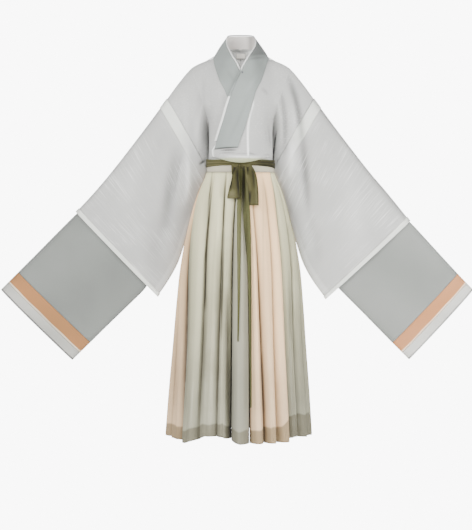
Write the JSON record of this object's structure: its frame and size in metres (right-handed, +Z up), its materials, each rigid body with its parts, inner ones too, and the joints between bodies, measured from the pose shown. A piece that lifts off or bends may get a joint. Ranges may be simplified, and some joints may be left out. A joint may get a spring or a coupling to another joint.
{
  "type": "hanfu set, jacket and pleated skirt with ribbon belt",
  "caption": "Filled-out hanfu set: crossed-collar sheer jacket with wide banded sleeves and flat cuffs, tucked into a pleated colour-panelled skirt tied with a ribbon bow.",
  "frame": {"origin": "between the wearer's shoulders at the base of the neck, where the shoulders carry the set", "axes": "+X towards the wearer's left, +Y towards the back, +Z up"},
  "size_m": [1.6048, 0.4508, 1.3761],
  "materials": {
    "white_chiffon": "sheer matt chiffon with a slub weave",
    "band_cloth": "double white cloth, matt",
    "grey_cloth": "plain matt cloth",
    "peach_cloth": "plain matt cloth",
    "celadon_cloth": "smooth matt cloth",
    "olive_ribbon": "sheer ribbon",
    "cream_cloth": "matt lining cloth",
    "sage_chiffon": "sheer chiffon over lining",
    "skirt_peach_chiffon": "sheer chiffon over lining",
    "pale_green_chiffon": "sheer chiffon over lining",
    "dark_metal": "satin"
  },
  "bodies": {
    "root": {"body_right": "white_chiffon", "body_left": "white_chiffon", "overlap_left": "white_chiffon", "overlap_right": "white_chiffon", "collar": "celadon_cloth", "collar_edging": "band_cloth", "neck_label": "cream_cloth", "snap": "dark_metal", "skirt_waistband": "cream_cloth", "belt": "olive_ribbon", "skirt_left_peach": "skirt_peach_chiffon", "skirt_front_sage": "sage_chiffon", "skirt_front_green": "pale_green_chiffon", "skirt_front_peach": "skirt_peach_chiffon", "skirt_right_sage": "sage_chiffon", "skirt_back_right_peach": "skirt_peach_chiffon", "skirt_back_green": "pale_green_chiffon", "skirt_back_sage": "sage_chiffon", "skirt_lining": "cream_cloth", "bow_knot": "olive_ribbon", "bow_loop_left": "olive_ribbon", "bow_loop_right": "olive_ribbon", "bow_tail_left": "olive_ribbon", "bow_tail_right": "olive_ribbon", "sleeve_right": "white_chiffon", "joint_band_right": "band_cloth", "sleeve_band_right": "band_cloth", "cuff_right": "grey_cloth", "cuff_stripe_right": "peach_cloth", "cuff_end_right": "band_cloth", "sleeve_left": "white_chiffon", "joint_band_left": "band_cloth", "sleeve_band_left": "band_cloth", "cuff_left": "grey_cloth", "cuff_stripe_left": "peach_cloth", "cuff_end_left": "band_cloth"}
  },
  "joints": []
}
